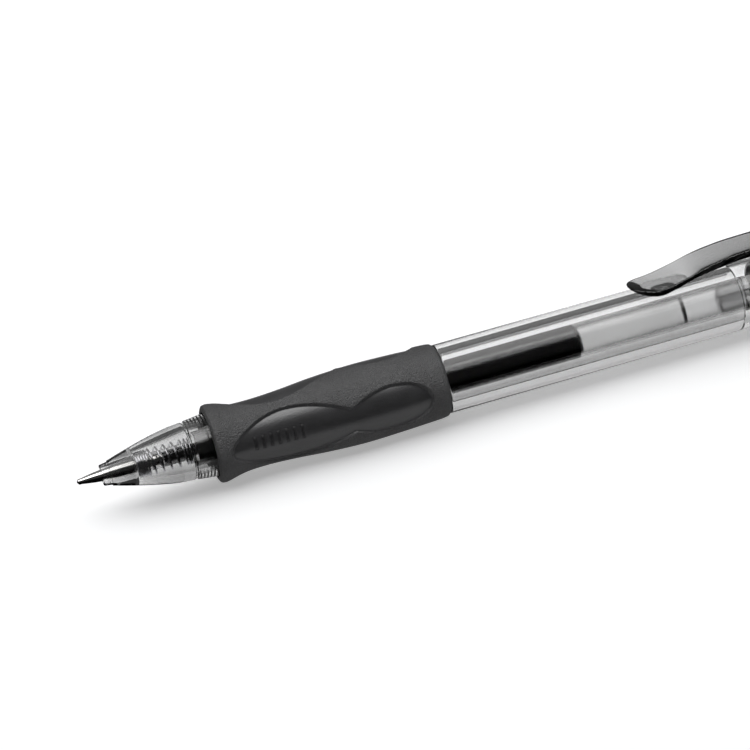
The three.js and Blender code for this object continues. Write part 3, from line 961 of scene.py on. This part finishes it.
def metal_point():
    """The turned cone and shank, with a rolled lip that holds the ball."""
    return turned("metal_point", rounded([
        (0.19, 0.365, 0.01),
        (0.19, 0.415, 0.02),
        (0.75, 0.46, 0.05),
        (0.95, 0.5, 0.05),
        (2.5, 0.75, 1.0),
        (4.6, 0.97, 1.0),
        (6.2, POINT_SHANK_R, 0.3),
        (10.55, POINT_SHANK_R, 0.1),
        (10.55, 0.95),
        (13.2, 0.95, 0.1),
        (13.2, 0.55),
        (1.5, 0.55),
        (1.3, 0.2),
        (0.72, 0.2),
        (0.55, 0.33),
        (0.35, 0.385),
    ]), 96)


def writing_ball():
    steps = 24
    angles = [math.pi * i / steps for i in range(1, steps)]
    arc = [(BALL_R * (1 - math.cos(angle)), BALL_R * math.sin(angle)) for angle in angles]
    return turned("carbide_ball", [(0, 0), *arc, (2 * BALL_R, 0)], 48)


class PEN_OT_writing_point(bpy.types.Operator):
    """Make the metal writing point and its ball"""

    bl_idname = "pen.writing_point"
    bl_label = "Writing point"

    def execute(self, context):
        metal = shared(turned_metal, "nickel silver", (0.86, 0.85, 0.83), (0.1, 0.2), 0.06, 0.0012)
        carbide = shared(turned_metal, "carbide", (0.5, 0.5, 0.52), (0.08, 0.14), 0.05, 0.0004)
        settle(metal_point(), metal, "refill", "point_metal", "writing_point")
        settle(writing_ball(), carbide, "ball", "ball_metal", "writing_ball")
        return {"FINISHED"}


# ---- Springs -------------------------------------------------------------------------------------
COIL_INPUTS = {  # each named input's kind and first value, in metres
    "Front": ("Float", 0.0),
    "Rear": ("Float", 0.01),
    "Coil Radius": ("Float", 0.002),
    "Wire Radius": ("Float", 0.0002),
    "Front Turns": ("Float", 5.0),
    "Open Turns": ("Float", 5.0),
    "Rear Turns": ("Float", 1.0),
    "Closed Pitch": ("Float", 0.0004),
    "Height": ("Float", 0.0),
    "Steps": ("Int", 700),
    "Sides": ("Int", 14),
    "Material": ("Material", None),
}


class NodeMaker:
    """A geometry node tree under construction, with its named inputs given."""

    def __init__(self, name, inputs):
        self.tree = bpy.data.node_groups.new(name, "GeometryNodeTree")
        sockets = self.tree.interface
        sockets.new_socket("Geometry", in_out="INPUT", socket_type="NodeSocketGeometry")
        sockets.new_socket("Geometry", in_out="OUTPUT", socket_type="NodeSocketGeometry")
        self.identifiers = {}
        for key, (kind, default) in inputs.items():
            socket = sockets.new_socket(key, in_out="INPUT", socket_type="NodeSocket" + kind)
            socket.default_value = default
            self.identifiers[key] = socket.identifier
        self.given = self.tree.nodes.new("NodeGroupInput").outputs

    def add(self, kind, values=(), **properties):
        return add_node(self.tree, kind, values, **properties)

    def maths(self, operation, first, second=0.0):
        return self.add("ShaderNodeMath", {0: first, 1: second}, operation=operation).outputs[0]

    def turns_between(self, along, start, end, turns):
        """The turns done at a distance along the spring by a stretch of it."""
        limits = {"Value": along, "From Min": start, "From Max": end, "To Min": 0.0, "To Max": turns}
        return self.add("ShaderNodeMapRange", limits).outputs["Result"]


def coil_tree():
    """Geometry nodes for a spring along X with closed turns at each end and open turns between them."""
    maker = NodeMaker("Coil spring", COIL_INPUTS)
    given = maker.given
    line = maker.add("GeometryNodeMeshLine", {"Count": given["Steps"], "Offset": (0, 0, 0)}, mode="OFFSET")
    index = maker.add("GeometryNodeInputIndex").outputs[0]
    share = maker.maths("DIVIDE", index, maker.maths("SUBTRACT", given["Steps"], 1.0))
    length = maker.maths("SUBTRACT", given["Rear"], given["Front"])
    along = maker.maths("MULTIPLY", share, length)
    front_end = maker.maths("MULTIPLY", given["Front Turns"], given["Closed Pitch"])
    rear_length = maker.maths("MULTIPLY", given["Rear Turns"], given["Closed Pitch"])
    rear_start = maker.maths("SUBTRACT", length, rear_length)
    front_part = maker.turns_between(along, 0.0, front_end, given["Front Turns"])
    open_part = maker.turns_between(along, front_end, rear_start, given["Open Turns"])
    rear_part = maker.turns_between(along, rear_start, length, given["Rear Turns"])
    turns = maker.maths("ADD", maker.maths("ADD", front_part, open_part), rear_part)
    angle = maker.maths("MULTIPLY", turns, 2 * math.pi)
    y = maker.maths("MULTIPLY", maker.maths("COSINE", angle), given["Coil Radius"])
    z = maker.maths("MULTIPLY", maker.maths("SINE", angle), given["Coil Radius"])
    place = maker.add("ShaderNodeCombineXYZ", {
        "X": maker.maths("ADD", given["Front"], along), "Y": y, "Z": maker.maths("ADD", z, given["Height"]),
    })
    moved = maker.add("GeometryNodeSetPosition", {
        "Geometry": line.outputs["Mesh"], "Position": place.outputs[0],
    })
    curve = maker.add("GeometryNodeMeshToCurve", {"Mesh": moved.outputs["Geometry"]})
    section = maker.add("GeometryNodeCurvePrimitiveCircle", {
        "Resolution": given["Sides"], "Radius": given["Wire Radius"],
    })
    swept = maker.add("GeometryNodeCurveToMesh", {
        "Curve": curve.outputs["Curve"], "Profile Curve": section.outputs["Curve"], "Fill Caps": True,
    })
    smooth = maker.add("GeometryNodeSetShadeSmooth", {"Geometry": swept.outputs["Mesh"]})
    realised = maker.add("GeometryNodeRealizeInstances", {"Geometry": smooth.outputs["Geometry"]})
    coated = maker.add("GeometryNodeSetMaterial", {
        "Geometry": realised.outputs["Geometry"], "Material": given["Material"],
    })
    maker.add("NodeGroupOutput", {0: coated.outputs["Geometry"]})
    return maker


def coil(name, maker, material, **sizes):
    """A plain mesh of a coil spring. Sizes are the tree's inputs, with lengths in metres."""
    made = bpy.data.objects.new(name, bpy.data.meshes.new(name))
    bpy.context.scene.collection.objects.link(made)
    modifier = made.modifiers.new("Coil", "NODES")
    modifier.node_group = maker.tree
    for key, value in {**sizes, "Material": material, "Height": AXIS_Z}.items():
        modifier[maker.identifiers[key.replace("_", " ")]] = value
    apply_modifiers(made)
    bm = bmesh.new()
    bm.from_mesh(made.data)
    bmesh.ops.remove_doubles(bm, verts=bm.verts, dist=1e-8)
    bmesh.ops.recalc_face_normals(bm, faces=bm.faces)
    bm.to_mesh(made.data)
    bm.free()
    return made


class PEN_OT_springs(bpy.types.Operator):
    """Make the return spring and the fine spring behind the ball"""

    bl_idname = "pen.springs"
    bl_label = "Springs"

    def execute(self, context):
        settings = context.scene.pen_spring
        steel = shared(turned_metal, "spring steel", (0.6, 0.6, 0.62), (0.14, 0.24), 0.1, 0.001)
        maker = coil_tree()
        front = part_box("return_spring")[0][0] + settings.wire * MM
        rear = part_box("return_spring")[1][0] - settings.wire * MM
        closed_pitch = (2 * settings.wire + 0.05) * MM
        spring = coil(
            "return_coil", maker, steel,
            Front=front,
            Rear=rear,
            Coil_Radius=settings.coil * MM,
            Wire_Radius=settings.wire * MM,
            Front_Turns=settings.closed_front,
            Open_Turns=settings.open_turns,
            Rear_Turns=settings.closed_rear,
            Closed_Pitch=closed_pitch,
        )
        settle(spring, steel, None, "spring_steel", "return_spring")
        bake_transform(spring)
        fine = coil(
            "ball_coil", maker, steel,
            Front=POINT_END + 1.9 * MM,
            Rear=POINT_END + 11.4 * MM,
            Coil_Radius=0.38 * MM,
            Wire_Radius=0.06 * MM,
            Front_Turns=0.5,
            Open_Turns=11.0,
            Rear_Turns=2.0,
            Closed_Pitch=0.16 * MM,
            Steps=600,
            Sides=8,
        )
        settle(fine, steel, "refill", "spring_steel", "ball_spring")
        return {"FINISHED"}


# ---- Stage ---------------------------------------------------------------------------------------
LAMP_LENGTH = 1.6
LAMP_HEIGHT = 0.6
# The floor's glow is painted light: it keeps the pen's shadow on the floor pale.
FLOOR_GLOW = 0.36
BOUNCE_GLOW = 0.3  # what each glossy bounce adds to the glow: the floor is painted brighter in reflections
PAINTED_BLACK_Y = -0.015  # where the floor's painted black in front of the pen ends, as its outer faces mirror it (a painted dark reflection)
PAINTED_BLACK_Y_INSIDE = -0.0035  # the same, as seen inside the clear plastic
PAINTED_BLACK_Y_AT_POINT = 0.05  # the same, below the metal point
PAINTED_BLACK_POINT_X = -0.055  # behind this the painted black no longer covers what the point mirrors
MIRROR_SHADE = 0.7  # painted shade: share taken off the floor where outer faces mirror it
MATT_SHADE = 0.2  # painted shade: share taken off the floor where it lights matt faces


def floor_paper():
    """Pale paper that glows a little, which is painted light that keeps the pen's shadow pale. Glossy faces
    mirror the floor painted black in front of the pen, a painted dark reflection, and a painted darker floor
    elsewhere. Matt faces get painted shade from it.
    """
    made = Finish("floor paper", Specular_IOR_Level=0.0, Emission_Color=(1, 1, 1, 1))
    made.feed("Base Color", made.blend_colours(made.noise(40), (0.86, 0.865, 0.875), (0.88, 0.885, 0.893)))
    made.feed("Roughness", made.spread(made.noise(5), 0.85, 0.95))
    path = made.add("LightPath").outputs
    glossy, inside = path["Glossy Depth"], path["Transmission Depth"]
    place = made.add("SeparateXYZ", {"Vector": made.place}).outputs
    # Painted light: the floor glows, and glows more where it is seen in reflections.
    made.feed("Emission Strength", made.maths("MULTIPLY_ADD", glossy, BOUNCE_GLOW, FLOOR_GLOW, clamp=True))
    past_point = made.maths("GREATER_THAN", place["X"], PAINTED_BLACK_POINT_X)
    outer_edge = made.maths("MULTIPLY_ADD", past_point, PAINTED_BLACK_Y - PAINTED_BLACK_Y_AT_POINT, PAINTED_BLACK_Y_AT_POINT)
    edge = made.spread(inside, outer_edge, PAINTED_BLACK_Y_INSIDE, 0, 1)
    # Painted dark reflection: the floor turns black where glossy faces mirror it in front of the pen.
    painted_black = made.maths("MULTIPLY", glossy, made.maths("LESS_THAN", place["Y"], edge))
    # Painted shade: the floor is darker in reflections from outer faces and in the light it bounces onto matt
    # faces.
    mirrored = made.maths("MULTIPLY", glossy, made.spread(inside, MIRROR_SHADE, 0, 0, 1))
    bounced = made.maths("MULTIPLY", path["Is Diffuse Ray"], MATT_SHADE)
    dark = made.maths("MAXIMUM", painted_black, made.maths("MAXIMUM", mirrored, bounced), clamp=True)
    made.show(made.shader, made.add("Emission", {"Strength": 0.0}), dark)
    return made.material


def floor():
    """A wide floor under the pen."""
    bm = bmesh.new()
    bmesh.ops.create_circle(bm, cap_ends=True, segments=96, radius=4.0)
    made = new_object("studio_floor", bm)
    made.data.materials.append(floor_paper())
    return made


def lamp(name, brightness, low, high, receiver, state):
    """A soft lamp above the pen, from the elevation low to high in degrees, counted from the camera's side.
    The state says whether it lights only the receiver or everything but the receiver."""
    near, far = (-LAMP_HEIGHT / math.tan(math.radians(angle)) for angle in (low, high))
    data = bpy.data.lights.new(name, "AREA")
    data.shape = "RECTANGLE"
    data.size, data.size_y = LAMP_LENGTH, far - near
    data.energy = brightness * math.pi * LAMP_LENGTH * (far - near)
    made = bpy.data.objects.new(name, data)
    made.location = (0, (near + far) / 2, LAMP_HEIGHT)
    made.visible_camera = False
    bpy.context.scene.collection.objects.link(made)
    group = bpy.data.collections.new(name + " receivers")
    group.objects.link(receiver)
    group.collection_objects[0].light_linking.link_state = state
    made.light_linking.receiver_collection = group


def world_light(backdrop, room):
    """The camera sees white. The pen sees a pale backdrop behind it and a dark room in front."""
    world = bpy.data.worlds.new("Studio")
    world.use_nodes = True
    tree = world.node_tree
    tree.nodes.remove(tree.nodes["Background"])

    def add(kind, values=(), **properties):
        return add_node(tree, "ShaderNode" + kind, values, **properties)

    def background(strength):
        return add("Background", {"Color": (1, 1, 1, 1), "Strength": strength}).outputs[0]

    across = add("SeparateXYZ", {0: add("TexCoord").outputs["Generated"]}).outputs["Y"]
    behind = add("Math", {0: across, 1: 0.0}, operation="GREATER_THAN").outputs[0]
    around = add("MixShader", {0: behind, 1: background(room), 2: background(backdrop)}).outputs[0]
    camera_ray = add("LightPath").outputs["Is Camera Ray"]
    seen = add("MixShader", {0: camera_ray, 1: around, 2: background(1.0)}).outputs[0]
    tree.links.new(seen, tree.nodes["World Output"].inputs["Surface"])
    bpy.context.scene.world = world


def camera(settings):
    """A camera that looks at the aim, rolled so that the pen climbs to the right."""
    a, e, roll = settings.azimuth, settings.elevation, settings.roll
    back = Vector((math.sin(a) * math.cos(e), -math.cos(a) * math.cos(e), math.sin(e)))
    level = Vector((math.cos(a), math.sin(a), 0))
    upright = back.cross(level)
    right = level * math.cos(roll) - upright * math.sin(roll)
    up = level * math.sin(roll) + upright * math.cos(roll)
    data = bpy.data.cameras.new("Camera")
    data.lens = settings.lens
    data.sensor_width = 36
    data.clip_start, data.clip_end = 0.01, 20
    made = bpy.data.objects.new("Camera", data)
    turn = Matrix((right, up, back)).transposed().to_4x4()
    made.matrix_world = Matrix.Translation(Vector(settings.aim) + back * settings.distance) @ turn
    bpy.context.scene.collection.objects.link(made)
    bpy.context.scene.camera = made


class PEN_OT_stage(bpy.types.Operator):
    """Make the floor, the lights and the camera"""

    bl_idname = "pen.stage"
    bl_label = "Stage"

    def execute(self, context):
        settings = context.scene.pen_stage
        context.scene.view_settings.view_transform = "Standard"
        ground = floor()
        lamp("Softbox", settings.softbox, 53, 98, ground, "EXCLUDE")
        lamp("Shadow lamp", settings.shadow_lamp, 65, 150, ground, "INCLUDE")
        world_light(settings.backdrop, settings.room)
        camera(settings)
        return {"FINISHED"}


# ---- Panel and registration ----------------------------------------------------------------------
PIECES = (
    PEN_OT_barrel,
    PEN_OT_nose_cone,
    PEN_OT_grip,
    PEN_OT_clip,
    PEN_OT_click_mechanism,
    PEN_OT_refill,
    PEN_OT_ink,
    PEN_OT_writing_point,
    PEN_OT_springs,
    PEN_OT_stage,
)


class PEN_PT_panel(bpy.types.Panel):
    """Sizes, colours and steps of the gel pen"""

    bl_idname = "PEN_PT_panel"
    bl_label = "Gel Pen"
    bl_space_type = "VIEW_3D"
    bl_region_type = "UI"
    bl_category = "Gel Pen"

    def draw(self, context):
        for group, kind in GROUPS.items():
            box = self.layout.box()
            for name in kind.__annotations__:
                box.prop(getattr(context.scene, group), name)
        for operator in PIECES:
            self.layout.operator(operator.bl_idname)


def register():
    for kind in (*GROUPS.values(), *PIECES, PEN_PT_panel):
        bpy.utils.register_class(kind)
    for group, kind in GROUPS.items():
        setattr(bpy.types.Scene, group, PointerProperty(type=kind))


def unregister():
    for group in GROUPS:
        delattr(bpy.types.Scene, group)
    for kind in (PEN_PT_panel, *reversed(PIECES), *reversed(GROUPS.values())):
        bpy.utils.unregister_class(kind)


def main():
    register()
    for operator in PIECES:
        family, name = operator.bl_idname.split(".")
        getattr(getattr(bpy.ops, family), name)()


if __name__ == "__main__":
    main()
